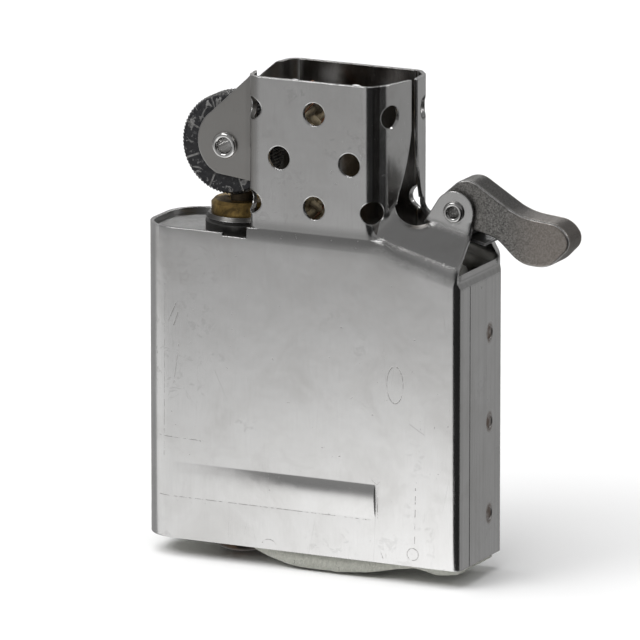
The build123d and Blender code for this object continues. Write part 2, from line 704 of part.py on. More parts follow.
WAD_LEFT_X = -5.8
WAD_RIGHT_X = 15.4
WAD_BASE_Z = 6.0
WAD_H = 6.2
WAD_GAP = 0.4
for index in range(4):
    low = WAD_BASE_Z + index * (WAD_H + WAD_GAP)
    with BuildPart() as cotton_wad:
        with Locations(((WAD_LEFT_X + WAD_RIGHT_X) / 2, 0, low + WAD_H / 2)):
            Box(WAD_RIGHT_X - WAD_LEFT_X, 2 * WAD_HALF_Y, WAD_H)
        fillet(cotton_wad.edges(), 1.4)
        with BuildSketch(Plane.XY.offset(low)):
            with Locations((WICK_X, 0)):
                Circle(WICK_R + 0.3)
        extrude(amount=WAD_H, mode=Mode.SUBTRACT)
    save(cotton_wad, f"cotton_wad_{index + 2}")
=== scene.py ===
import math

import bmesh
import bpy
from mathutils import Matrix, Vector, noise


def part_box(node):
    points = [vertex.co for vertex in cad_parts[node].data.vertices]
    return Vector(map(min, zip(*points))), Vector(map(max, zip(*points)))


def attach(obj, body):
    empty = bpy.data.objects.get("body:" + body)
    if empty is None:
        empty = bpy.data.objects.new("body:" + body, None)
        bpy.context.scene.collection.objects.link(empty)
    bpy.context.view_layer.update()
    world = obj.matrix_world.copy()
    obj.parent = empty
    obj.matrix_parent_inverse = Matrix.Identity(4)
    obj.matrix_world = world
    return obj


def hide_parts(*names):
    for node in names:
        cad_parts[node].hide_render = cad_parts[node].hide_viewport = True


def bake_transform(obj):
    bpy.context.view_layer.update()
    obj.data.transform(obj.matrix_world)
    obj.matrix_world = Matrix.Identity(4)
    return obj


MM = 0.001

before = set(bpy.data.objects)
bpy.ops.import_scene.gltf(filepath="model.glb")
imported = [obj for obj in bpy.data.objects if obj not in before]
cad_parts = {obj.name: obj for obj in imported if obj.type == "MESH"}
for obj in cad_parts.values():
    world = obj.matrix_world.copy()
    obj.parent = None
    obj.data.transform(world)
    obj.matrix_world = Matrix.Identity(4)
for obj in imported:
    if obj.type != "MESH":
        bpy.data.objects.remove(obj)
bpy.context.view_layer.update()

# Places on the tank, in millimetres, that its finish changes at
FACE_Y = 4.9                # the front and back faces lie beyond this, on either side
FOLD_Z = (35.0, 35.3)       # the fold between tank and chimney
EAR_X = (-4.1, -5.2)        # the wheel's ears leave the chimney here
CHIMNEY_INSIDE_Y = 4.74
CHIMNEY_INSIDE_RIGHT = 8.6
END_WALL_X = 17.7
WELD_PLACE = (18.0, 1.9)    # the spot welds on the right-hand wall, across X and Y
WELD_HEIGHTS = (25.2, 16.0, 6.5)
WELD_SIZE = (0.6, 0.9, 1.25)


def mm(x, y, z):
    """A point given in millimetres, in the scene's metres."""
    return Vector((x * MM, y * MM, z * MM))


def node_box(name):
    """A CAD node's lowest and highest corners, in millimetres."""
    low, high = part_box(name)
    return [value / MM for value in low], [value / MM for value in high]


# ------------------------------------------------------------------ shader helpers
class Shader:
    """A material's node tree, with one short call for each node that it needs."""

    def __init__(self, name):
        self.material = bpy.data.materials.new(name)
        self.material.use_nodes = True
        self.tree = self.material.node_tree
        self.tree.nodes.clear()
        self.bsdf = self.add("ShaderNodeBsdfPrincipled")
        out = self.add("ShaderNodeOutputMaterial")
        self.link(self.bsdf.outputs["BSDF"], out.inputs["Surface"])
        coordinates = self.add("ShaderNodeTexCoord")
        scale = self.add("ShaderNodeVectorMath", operation="SCALE")
        scale.inputs["Scale"].default_value = 1 / MM
        self.link(coordinates.outputs["Object"], scale.inputs[0])
        self.place = scale.outputs[0]   # object coordinates in millimetres
        split = self.add("ShaderNodeSeparateXYZ")
        self.link(self.place, split.inputs[0])
        self.x, self.y, self.z = split.outputs

    def add(self, kind, **settings):
        node = self.tree.nodes.new(kind)
        for name, value in settings.items():
            setattr(node, name, value)
        return node

    def link(self, source, target):
        self.tree.links.new(source, target)

    def put(self, value, socket):
        """Sets a socket to a number or colour, or links it to another node's output."""
        if isinstance(value, bpy.types.NodeSocket):
            self.link(value, socket)
        elif isinstance(value, tuple) and len(value) == 3 and socket.type == "RGBA":
            socket.default_value = (*value, 1.0)
        else:
            socket.default_value = value

    def set(self, **inputs):
        for name, value in inputs.items():
            self.put(value, self.bsdf.inputs[name.replace("_", " ")])

    def stretch(self, x, y, z):
        """The place in millimetres, scaled along each axis."""
        node = self.add("ShaderNodeVectorMath", operation="MULTIPLY")
        self.link(self.place, node.inputs[0])
        node.inputs[1].default_value = (x, y, z)
        return node.outputs[0]

    def noise(self, scale, detail=3.0, roughness=0.55, source=None, distortion=0.0):
        node = self.add("ShaderNodeTexNoise")
        self.link(source or self.place, node.inputs["Vector"])
        self.put(scale, node.inputs["Scale"])
        self.put(detail, node.inputs["Detail"])
        self.put(roughness, node.inputs["Roughness"])
        self.put(distortion, node.inputs["Distortion"])
        return node.outputs["Fac"]

    def cells(self, scale, feature="F1", source=None):
        node = self.add("ShaderNodeTexVoronoi", feature=feature)
        self.link(source or self.place, node.inputs["Vector"])
        self.put(scale, node.inputs["Scale"])
        return node.outputs["Distance"]

    def ramp(self, value, *stops):
        """Maps a value to greys or colours between stops of (value, grey or colour)."""
        node = self.add("ShaderNodeValToRGB")
        self.link(value, node.inputs["Fac"])
        elements = node.color_ramp.elements
        while len(elements) < len(stops):
            elements.new(0.5)
        for element, (place, colour) in zip(elements, stops):
            element.position = place
            if isinstance(colour, (int, float)):
                colour = (colour, colour, colour)
            element.color = (*colour, 1.0)
        return node.outputs["Color"]

    def math(self, operation, first, second=0.0, third=0.0, clamp=False):
        node = self.add("ShaderNodeMath", operation=operation, use_clamp=clamp)
        for value, socket in zip((first, second, third), node.inputs):
            self.put(value, socket)
        return node.outputs[0]

    def product(self, first, *others):
        for value in others:
            first = self.math("MULTIPLY", first, value)
        return first

    def largest(self, first, *others):
        for value in others:
            first = self.math("MAXIMUM", first, value)
        return first

    def length(self, first, second):
        """Length of a flat vector."""
        squares = self.math("ADD", self.product(first, first), self.product(second, second))
        return self.math("SQRT", squares)

    def spread(self, value, low, high, at_low=0.0, at_high=1.0):
        """A smooth step from at_low to at_high as value goes from low to high."""
        node = self.add("ShaderNodeMapRange", interpolation_type="SMOOTHSTEP")
        for number, socket in zip((value, low, high, at_low, at_high), node.inputs):
            self.put(number, socket)
        return node.outputs[0]

    def mix(self, factor, first, second, mode="MIX"):
        node = self.add("ShaderNodeMix", data_type="RGBA", blend_type=mode)
        self.put(factor, node.inputs["Factor"])
        self.put(first, node.inputs[6])
        self.put(second, node.inputs[7])
        return node.outputs[2]

    def bump(self, height, strength, distance_mm, below=None):
        node = self.add("ShaderNodeBump")
        node.inputs["Strength"].default_value = strength
        node.inputs["Distance"].default_value = distance_mm * MM
        self.link(height, node.inputs["Height"])
        if below:
            self.link(below, node.inputs["Normal"])
        return node.outputs["Normal"]

    def edges(self, radius_mm, low=0.02, high=0.3):
        """1 along sharp edges, from how far a rounded normal turns away from the true one."""
        bevel = self.add("ShaderNodeBevel", samples=6)
        bevel.inputs["Radius"].default_value = radius_mm * MM
        geometry = self.add("ShaderNodeNewGeometry")
        dot = self.add("ShaderNodeVectorMath", operation="DOT_PRODUCT")
        self.link(bevel.outputs["Normal"], dot.inputs[0])
        self.link(geometry.outputs["Normal"], dot.inputs[1])
        turned = self.math("SUBTRACT", 1.0, dot.outputs["Value"])
        return self.spread(turned, low, high), bevel.outputs["Normal"]

    def blob(self, x, y, z, size_x, size_y, size_z, soft=0.35):
        """1 inside an ellipsoid given in millimetres, fading to 0 at its skin."""
        total = None
        for axis, centre, size in ((self.x, x, size_x), (self.y, y, size_y), (self.z, z, size_z)):
            offset = self.math("DIVIDE", self.math("SUBTRACT", axis, centre), size)
            square = self.product(offset, offset)
            total = square if total is None else self.math("ADD", total, square)
        return self.spread(total, 1.0, 1.0 - soft)


def dress(name, material):
    """Gives a CAD node its material."""
    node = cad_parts[name]
    node.data.materials.clear()
    node.data.materials.append(material)


# ------------------------------------------------------------------ materials
def grey(value, warmth=0.0):
    """A grey, warmer as its red rises and its blue falls."""
    return (value * (1 + warmth), value, value * (1 - 1.6 * warmth))


def stainless():
    """Rolled stainless sheet, wiped and handled, with light residue, scratches and spot welds."""
    shader = Shader("stainless_sheet")
    rolled = shader.noise(1.0, 6, 0.65, shader.stretch(12, 12, 0.35))
    smudge = shader.noise(0.14, 5, 0.6, distortion=0.6)
    grain = shader.noise(9.0, 4, 0.7)
    steel = shader.ramp(smudge, (0.3, grey(0.56, 0.012)), (0.55, grey(0.62, 0.006)),
                        (0.75, grey(0.65, 0.004)))
    steel = shader.mix(shader.spread(rolled, 0.35, 0.7, 0.0, 0.2), steel, grey(0.5, 0.01))
    on_faces = shader.math("GREATER_THAN", shader.math("ABSOLUTE", shader.y), FACE_Y)
    # Long hair scratches in a few areas
    hairs = shader.cells(1.0, "DISTANCE_TO_EDGE", shader.stretch(0.5, 0.5, 0.045))
    hair = shader.product(shader.math("LESS_THAN", hairs, 0.003),
                          shader.spread(shader.noise(0.2, 2, 0.5), 0.5, 0.62), on_faces)
    # Dried residue: small patches whose rims are darker than their middles
    stain_shape = shader.noise(0.75, 6, 0.68, distortion=1.1)
    stain = shader.product(shader.spread(stain_shape, 0.55, 0.60), shader.spread(stain_shape, 0.68, 0.62),
                           shader.spread(shader.noise(0.13, 2, 0.5), 0.55, 0.66))
    pits = shader.spread(shader.noise(2.6, 2, 0.5, distortion=0.6), 0.74, 0.79)
    # Marks of use on the front
    on_front = shader.math("LESS_THAN", shader.y, -FACE_Y)
    marks = shader.largest(
        scratch(shader, 13.1, 4.4, 13.2, 10.2, 0.07, dashes=1.4),
        ring(shader, 12.9, 3.3, 0.62, 0.62, 0.07),
        scratch(shader, 8.95, 6.6, 9.0, 9.9, 0.08),
        scratch(shader, 9.2, 3.4, 9.6, 2.5, 0.06),
        ring(shader, -3.2, 2.55, 0.75, 0.5, 0.06, above=2.6),
        ring(shader, 10.9, 20.6, 0.9, 1.9, 0.07),
        scratch(shader, -15.1, 10.5, -14.9, 28.5, 0.04),
        scratch(shader, -16.0, 12.6, -10.4, 12.5, 0.05),
        scratch(shader, -14.5, 24.6, -13.6, 26.6, 0.08),
        scratch(shader, -13.9, 24.2, -13.4, 25.6, 0.09),
        scratch(shader, -16.0, 6.4, 8.8, 6.35, 0.045),
        scratch(shader, -13.9, 18.2, -13.3, 22.4, 0.05),
    )
    uneven = shader.spread(shader.noise(1.6, 4, 0.65), 0.38, 0.60, 0.0, 0.75)
    dark = shader.largest(shader.product(marks, uneven, on_front), shader.product(stain, 0.16),
                          shader.product(hair, 0.18), shader.product(pits, 0.7))
    steel = shader.mix(shader.product(dark, 0.6), steel, (0.15, 0.14, 0.125))
    # Painted shade under the fold between tank and chimney, where the sheet curves in
    fold_painted_shade = shader.product(shader.spread(shader.z, FOLD_Z[0] - 2.6, FOLD_Z[0]),
                           shader.spread(shader.z, FOLD_Z[1] + 1.1, FOLD_Z[1]), on_faces)
    steel = shader.mix(shader.product(fold_painted_shade, 0.55), steel, grey(0.26, 0.01))
    # Painted shade on the recessed wheel ears: darker and a little warmer
    ear_painted_shade = shader.product(shader.spread(shader.x, *EAR_X), shader.spread(shader.z, 36.6, 38.5))
    steel = shader.mix(shader.product(ear_painted_shade, 0.70), steel, (0.25, 0.238, 0.222))
    # Painted shade inside the chimney, mottled
    above_plate = shader.product(shader.spread(shader.z, 34.0, 35.2), shader.spread(shader.x, -4.6, -4.0))
    between_walls = shader.math("LESS_THAN", shader.math("ABSOLUTE", shader.y), CHIMNEY_INSIDE_Y)
    inside = shader.product(between_walls, above_plate,
                            shader.math("LESS_THAN", shader.x, CHIMNEY_INSIDE_RIGHT))
    chimney_painted_shade = shader.spread(shader.noise(0.4, 4, 0.6, shader.stretch(1, 1, 0.4)), 0.3, 0.65, 0.5, 0.92)
    steel = shader.mix(shader.product(inside, chimney_painted_shade), steel, (0.085, 0.072, 0.06))
    # Heat tint of the three spot welds on the right-hand wall
    weld = shader.largest(*(shader.blob(*WELD_PLACE, height, *WELD_SIZE, 0.8) for height in WELD_HEIGHTS))
    weld = shader.product(weld, shader.spread(shader.noise(1.6, 4, 0.6), 0.3, 0.6, 0.45, 1.0))
    steel = shader.mix(shader.product(weld, 0.85), steel, (0.16, 0.095, 0.06))
    # Draw lines of the folded end wall
    drawn = shader.noise(1.0, 3, 0.6, shader.stretch(0.0, 1.5, 0.03))
    on_end = shader.math("GREATER_THAN", shader.x, END_WALL_X)
    streak = shader.product(shader.spread(drawn, 0.42, 0.66), on_end)
    steel = shader.mix(shader.product(streak, 0.25), steel, grey(0.42, 0.01))
    # Brighter edges: partly handling wear, partly a painted highlight
    wear_and_edge_highlight, rounded = shader.edges(0.16)
    steel = shader.mix(shader.product(wear_and_edge_highlight, 0.7), steel, grey(0.9))
    rough = shader.ramp(smudge, (0.3, 0.27), (0.5, 0.21), (0.75, 0.25))
    rough = shader.mix(dark, rough, grey(0.45))
    rough = shader.mix(ear_painted_shade, rough, grey(0.36))
    rough = shader.mix(weld, rough, grey(0.5))
    shoulder = shader.product(shader.spread(shader.x, 7.0, 9.5), shader.spread(shader.z, 31.2, 32.6),
                              shader.spread(shader.z, 37.6, 36.9))
    rough = shader.mix(shoulder, rough, grey(0.13))
    # The shoulders' folds are broad, so their rounding is shaded wider than an edge's
    broad = shader.add("ShaderNodeBevel", samples=8)
    broad.inputs["Radius"].default_value = 0.85 * MM
    folds = shader.add("ShaderNodeMix", data_type="VECTOR")
    shader.put(shoulder, folds.inputs["Factor"])
    shader.link(rounded, folds.inputs[4])
    shader.link(broad.outputs["Normal"], folds.inputs[5])
    normal = shader.bump(rolled, 0.10, 0.012, folds.outputs[1])
    normal = shader.bump(grain, 0.06, 0.01, normal)
    normal = shader.bump(shader.noise(0.35, 2, 0.5), 0.14, 0.12, normal)
    normal = shader.bump(shader.noise(0.9, 2, 0.5, shader.stretch(0, 1, 0.04)), 0.12, 0.22, normal)
    normal = shader.bump(shader.math("SUBTRACT", 1.0, dark), 0.35, 0.03, normal)
    shader.set(Base_Color=steel, Metallic=1.0, Roughness=rough, Normal=normal)
    return shader.material


def scratch(shader, x1, z1, x2, z2, width, dashes=0.0):
    """1 on a straight line across the front, in millimetres, broken into dashes if asked."""
    length = math.hypot(x2 - x1, z2 - z1)
    ux, uz = (x2 - x1) / length, (z2 - z1) / length
    dx, dz = shader.math("SUBTRACT", shader.x, x1), shader.math("SUBTRACT", shader.z, z1)
    along = shader.math("ADD", shader.product(dx, ux), shader.product(dz, uz))
    beside = shader.math("SUBTRACT", shader.product(dx, uz), shader.product(dz, ux))
    line = shader.product(shader.spread(shader.math("ABSOLUTE", beside), width, width * 0.4),
                          shader.spread(along, -0.1, 0.1),
                          shader.spread(along, length + 0.1, length - 0.1))
    if dashes:
        wave = shader.math("SINE", shader.product(along, 2 * math.pi / dashes))
        line = shader.product(line, shader.spread(wave, -0.5, -0.1))
    return line


def ring(shader, x, z, half_x, half_z, width, above=None):
    """1 on an ellipse's outline on the front, in millimetres, or on its part above a height."""
    dx = shader.math("DIVIDE", shader.math("SUBTRACT", shader.x, x), half_x)
    dz = shader.math("DIVIDE", shader.math("SUBTRACT", shader.z, z), half_z)
    off = shader.math("ABSOLUTE", shader.math("SUBTRACT", shader.length(dx, dz), 1.0))
    band = 2 * width / (half_x + half_z)
    line = shader.spread(off, band, band * 0.4)
    if above is not None:
        line = shader.product(line, shader.math("GREATER_THAN", shader.z, above))
    return line


def metal(name, tone, dark, rough, grain_scale=6.0, bump=0.15, edge=None, edge_mm=0.12):
    """Metal with fine mottling from tone to dark, and brighter edges, partly wear and partly painted
    highlight.
    """
    shader = Shader(name)
    mottle = shader.noise(grain_scale * 0.12, 5, 0.65)
    grain = shader.noise(grain_scale, 5, 0.7)
    colour = shader.ramp(mottle, (0.32, dark), (0.62, tone))
    # Brighter edges: partly wear, partly a painted highlight
    if edge:
        wear_and_edge_highlight, _ = shader.edges(edge_mm)
        colour = shader.mix(wear_and_edge_highlight, colour, edge)
    spread = shader.ramp(grain, (0.3, min(rough + 0.1, 1.0)), (0.7, max(rough - 0.06, 0.03)))
    shader.set(Base_Color=colour, Metallic=1.0, Roughness=spread)
    shader.set(Normal=shader.bump(grain, bump, 0.02))
    return shader.material


def sintered_steel():
    """Tumbled powder metal: fine pores and bright grains, browner at its end, and a bright rim, partly rubbed
    metal and partly painted highlight.
    """
    shader = Shader("sintered_steel")
    high = node_box("cam")[1]
    pores = shader.noise(7.0, 5, 0.75)
    flecks = shader.cells(4.5)
    broad = shader.noise(0.35, 4, 0.55)
    colour = shader.ramp(pores, (0.38, grey(0.09, 0.02)), (0.5, grey(0.22, 0.03)),
                         (0.62, grey(0.37, 0.03)))
    colour = shader.mix(shader.spread(broad, 0.4, 0.65, 0.0, 0.35), colour, grey(0.23, 0.04))
    brown = shader.spread(shader.x, high[0] - 7.5, high[0] - 2.5, 0.0, 0.55)
    colour = shader.mix(brown, colour, (0.40, 0.352, 0.315))
    colour = shader.mix(shader.spread(flecks, 0.16, 0.06, 0.0, 0.75), colour, grey(0.62, 0.02))
    # The thickness of the lever is darker than its rubbed faces
    beside = shader.math("ABSOLUTE", shader.y)
    middle = shader.spread(beside, high[1] - 0.3, high[1] - 0.55)
    colour = shader.mix(shader.product(middle, 0.45), colour, grey(0.09, 0.02))
    # Its rim, where the thickness turns into a face, is painted bright in patches: partly rubbed metal,
    # partly a painted highlight
    _, rounded = shader.edges(0.16)
    rim_wear_and_highlight = shader.product(shader.spread(beside, high[1] - 0.24, high[1] - 0.15),
                          shader.spread(beside, high[1] - 0.02, high[1] - 0.08),
                          shader.spread(shader.noise(1.1, 4, 0.65), 0.34, 0.56, 0.25, 1.0))
    colour = shader.mix(rim_wear_and_highlight, colour, grey(0.85, 0.01))
    rough = shader.mix(rim_wear_and_highlight, shader.ramp(pores, (0.35, 0.55), (0.65, 0.38)), grey(0.25))
    shader.set(Base_Color=colour, Metallic=1.0, Roughness=rough)
    shader.set(Normal=shader.bump(pores, 0.45, 0.03, rounded))
    return shader.material


def wheel_steel():
    """Blackened hardened steel: chipped oxide bare to grey metal, and scored lines painted bright, partly
    bare metal and partly painted highlight.
    """
    shader = Shader("wheel_steel")
    low, high = node_box("striker_wheel")
    wheel_r = (high[0] - low[0]) / 2
    dx = shader.math("SUBTRACT", shader.x, (low[0] + high[0]) / 2)
    dz = shader.math("SUBTRACT", shader.z, (low[2] + high[2]) / 2)
    radius = shader.length(dx, dz)
    near_rim = shader.spread(radius, wheel_r - 1.9, wheel_r - 0.5, 0.1, 1.0)
    chip_shape = shader.noise(0.7, 6, 0.66, distortion=1.0)
    chips = shader.product(shader.spread(chip_shape, 0.56, 0.58), near_rim)
    flakes = shader.product(shader.spread(shader.noise(2.6, 4, 0.6), 0.62, 0.66), near_rim)
    # Scored lines every 45 degrees, painted bright: partly bare metal, partly a painted highlight on their
    # raised edges
    angle = shader.math("ARCTAN2", dz, dx)
    turn = shader.math("SINE", shader.product(shader.math("SUBTRACT", angle, math.radians(21)), 4))
    beside = shader.product(shader.math("ABSOLUTE", turn), shader.product(radius, 0.25))
    scored_lines_and_highlight = shader.product(shader.spread(beside, 0.11, 0.06), shader.spread(radius, 3.2, 3.8))
    # Tips of the teeth are rubbed bare
    tips = shader.product(shader.spread(radius, wheel_r - 0.22, wheel_r - 0.05),
                          shader.spread(shader.noise(0.9, 4, 0.6), 0.4, 0.58, 0.1, 0.85))
    bare_metal_and_highlight = shader.largest(shader.product(chips, 0.9), shader.product(flakes, 0.55), scored_lines_and_highlight, tips)
    oxide = shader.ramp(shader.noise(2.4, 4, 0.6), (0.35, (0.009, 0.009, 0.011)),
                        (0.65, (0.023, 0.023, 0.025)))
    bare = shader.ramp(shader.noise(3.0, 4, 0.6), (0.3, grey(0.2, 0.01)), (0.7, grey(0.5, 0.012)))
    shader.set(Base_Color=shader.mix(bare_metal_and_highlight, oxide, bare))
    shader.set(Metallic=shader.spread(bare_metal_and_highlight, 0.1, 0.6, 0.1, 0.85), Specular_IOR_Level=0.35)
    shader.set(Roughness=shader.ramp(shader.noise(4.0, 3, 0.6), (0.3, 0.6), (0.7, 0.42)))
    normal = shader.bump(shader.noise(3.5, 5, 0.65), 0.35, 0.05)
    shader.set(Normal=shader.bump(shader.math("SUBTRACT", 1.0, bare_metal_and_highlight), 0.5, 0.05, normal))
    return shader.material


def brass(name, bright, stain, black):
    """Old brass: dark brown film with brighter rubbed patches."""
    shader = Shader(name)
    film = shader.noise(0.5, 6, 0.65, distortion=0.7)
    fine = shader.noise(3.0, 5, 0.7)
    turned = shader.noise(1.0, 3, 0.6, shader.stretch(0.4, 0.4, 9))
    colour = shader.ramp(film, (0.36, black), (0.5, stain), (0.66, bright))
    colour = shader.mix(shader.spread(fine, 0.45, 0.75, 0.0, 0.4), colour, black)
    # Brighter edges: partly wear, partly a painted highlight
    wear_and_edge_highlight, _ = shader.edges(0.14)
    colour = shader.mix(shader.product(wear_and_edge_highlight, 0.55), colour, bright)
    shader.set(Base_Color=colour, Metallic=1.0)
    shader.set(Roughness=shader.ramp(film, (0.35, 0.5), (0.65, 0.26)))
    normal = shader.bump(turned, 0.15, 0.02)
    shader.set(Normal=shader.bump(fine, 0.2, 0.02, normal))
    return shader.material


def felt_wool():
    """Pressed grey-green felt: matted short fibres and a few dark specks."""
    shader = Shader("felt_wool")
    fibres = shader.noise(3.2, 7, 0.8, shader.stretch(1, 1, 0.6), 2.2)
    matting = shader.noise(0.9, 5, 0.6)
    colour = shader.ramp(fibres, (0.32, (0.27, 0.275, 0.24)), (0.52, (0.50, 0.505, 0.45)),
                         (0.7, (0.68, 0.68, 0.62)))
    colour = shader.mix(shader.spread(matting, 0.42, 0.62, 0.0, 0.35), colour, (0.44, 0.445, 0.39))
    specks = shader.spread(shader.noise(2.0, 2, 0.5, distortion=1.5), 0.7, 0.76, 0.0, 0.8)
    colour = shader.mix(specks, colour, (0.09, 0.085, 0.07))
    shader.set(Base_Color=colour, Roughness=0.95, Sheen_Weight=0.35, Sheen_Roughness=0.5)
    shader.set(Specular_IOR_Level=0.15)
    normal = shader.bump(fibres, 0.9, 0.12)
    shader.set(Normal=shader.bump(matting, 0.5, 0.2, normal))
    return shader.material


def yarn(name, tone, dark, scorched=False):
    """Plied cotton yarn; scorched from the flame above a height if asked."""
    shader = Shader(name)
    fibres = shader.noise(5.0, 6, 0.75, shader.stretch(1, 1, 0.5))
    colour = shader.ramp(fibres, (0.3, dark), (0.7, tone))
    if scorched:
        top = node_box("wick")[1][2]
        burnt = shader.math("ADD", shader.z, shader.product(shader.noise(1.3, 3, 0.6), 1.6))
        colour = shader.mix(shader.spread(burnt, top - 3.5, top - 0.2), colour, (0.055, 0.042, 0.032))
    shader.set(Base_Color=colour, Roughness=0.95, Sheen_Weight=0.3, Specular_IOR_Level=0.1)
    shader.set(Normal=shader.bump(fibres, 0.7, 0.05))
    return shader.material


def floor_paint():
    """Pale matt floor, very slightly uneven in tone."""
    shader = Shader("floor_paint")
    shade = shader.noise(0.002, 2, 0.5)
    shader.set(Base_Color=shader.ramp(shade, (0.3, 0.93), (0.7, 0.95)), Roughness=0.85)
    shader.set(Specular_IOR_Level=0.1)
    return shader.material


MATERIALS = {
    "tank_body": stainless(),
    "top_plate": metal("plate_steel", grey(0.36, 0.005), grey(0.24, 0.01), 0.38, 5.0),
    "tube_flange": metal("dark_steel", grey(0.17, 0.02), grey(0.07, 0.04), 0.34, 4.0, 0.2, grey(0.6)),
    "flint_tube": brass("tube_brass", (0.60, 0.42, 0.14), (0.30, 0.20, 0.07), (0.10, 0.07, 0.03)),
    "flint": metal("flint_grain", (0.16, 0.13, 0.09), (0.05, 0.045, 0.04), 0.6, 8.0, 0.5),
    "flint_spring_tip": brass("tip_brass", (0.6, 0.43, 0.2), (0.45, 0.3, 0.12), (0.25, 0.16, 0.07)),
    "flint_spring": metal("spring_wire", grey(0.55), grey(0.4), 0.25, 8.0),
    "flint_screw": brass("screw_brass", (0.16, 0.10, 0.055), (0.05, 0.032, 0.022), (0.014, 0.011, 0.009)),
    "striker_wheel": wheel_steel(),
    "wheel_rivet": metal("rivet_nickel", grey(0.72, 0.01), grey(0.55, 0.01), 0.14, 3.0, 0.12),
    "cam": sintered_steel(),
    "cam_rivet": metal("cam_rivet_nickel", grey(0.6, 0.01), grey(0.42, 0.01), 0.2, 3.0, 0.15),
    "cam_spring": metal("leaf_steel", grey(0.16), grey(0.09), 0.36, 6.0, 0.12, grey(0.5)),
}
for node_name, material in MATERIALS.items():
    dress(node_name, material)

FELT = felt_wool()
COTTON = yarn("cotton_wool", (0.86, 0.85, 0.81), (0.66, 0.65, 0.6))
WICK_YARN = yarn("wick_yarn", (0.72, 0.61, 0.42), (0.42, 0.33, 0.2), scorched=True)
COPPER = metal("copper_strand", (0.62, 0.32, 0.2), (0.4, 0.19, 0.11), 0.35, 8.0)


# ------------------------------------------------------------------ mesh helpers
def add_object(name, data):
    obj = bpy.data.objects.new(name, data)
    bpy.context.scene.collection.objects.link(obj)
    return obj


def finish_mesh(mesh, material):
    """Smooth shading and one material."""
    for polygon in mesh.polygons:
        polygon.use_smooth = True
    mesh.materials.clear()
    mesh.materials.append(material)


def mesh_object(name, verts, faces, material):
    mesh = bpy.data.meshes.new(name)
    mesh.from_pydata([tuple(v) for v in verts], [], faces)
    bm = bmesh.new()
    bm.from_mesh(mesh)
    bmesh.ops.recalc_face_normals(bm, faces=bm.faces)
    bm.to_mesh(mesh)
    bm.free()
    finish_mesh(mesh, material)
    return add_object(name, mesh)


def closed_tube(path, sides, start):
    """Vertices and faces of a closed tube round a path, a list of (point, radius). The faces
    count their vertices from start."""
    points = [point for point, _ in path]
    verts, faces = [], []
    side_axis = None
    for index, (point, radius) in enumerate(path):
        before = points[max(index - 1, 0)]
        after = points[min(index + 1, len(points) - 1)]
        along = (after - before).normalized()
        if side_axis is None:
            side_axis = along.orthogonal().normalized()
        side_axis = (side_axis - along * side_axis.dot(along)).normalized()
        other = along.cross(side_axis)
        for step in range(sides):
            angle = 2 * math.pi * step / sides
            verts.append(point + (side_axis * math.cos(angle) + other * math.sin(angle)) * radius)
    levels = len(path)
    for level in range(levels - 1):
        for step in range(sides):
            a = start + level * sides + step
            b = start + level * sides + (step + 1) % sides
            faces.append((a, b, b + sides, a + sides))
    faces.append(tuple(start + step for step in reversed(range(sides))))
    faces.append(tuple(start + (levels - 1) * sides + step for step in range(sides)))
    return verts, faces


def strands(name, paths, sides, material):
    """One object of several closed tubes."""
    verts, faces = [], []
    for path in paths:
        more_verts, more_faces = closed_tube(path, sides, len(verts))
        verts += more_verts
        faces += more_faces
    return mesh_object(name, verts, faces, material)


# ------------------------------------------------------------------ felt
FELT_TUCKED = (2.15, 4.9)   # underside and top at the flint screw, in millimetres
FELT_FREE = (2.1, 2.95)     # the same where the felt neither sags nor is tucked
SAG_X = 2.0                 # where the sag is deepest
SAG_REACH = (7.4, 10.0)     # how far it reaches to the left and to the right
SAG_DEPTH = 2.05
DROOP_X = 12.2              # the free end droops from here, over this length
DROOP_LENGTH = 3.6
DROOP_DEPTH = 0.85
TUCK_X = -5.6               # halfway up the rise towards the screw
CORNER_R = 3.2              # the felt's rounded end, as the tank's


def felt_profile(x):
    """Heights of the felt's underside and top at x, in millimetres."""
    reach = SAG_REACH[1] if x > SAG_X else SAG_REACH[0]
    sag = math.exp(-(abs(x - SAG_X) / reach) ** 2.6)
    droop = min(max((x - DROOP_X) / DROOP_LENGTH, 0.0), 1.0)
    low = FELT_FREE[0] - SAG_DEPTH * sag - DROOP_DEPTH * droop * droop * (3 - 2 * droop)
    rise = 1 / (1 + math.exp((x - TUCK_X) * 1.7))
    top = FELT_FREE[1] - 0.15 * sag + (FELT_TUCKED[1] - FELT_FREE[1]) * rise
    return min(low + (FELT_TUCKED[0] - low) * rise, FELT_TUCKED[0]), top


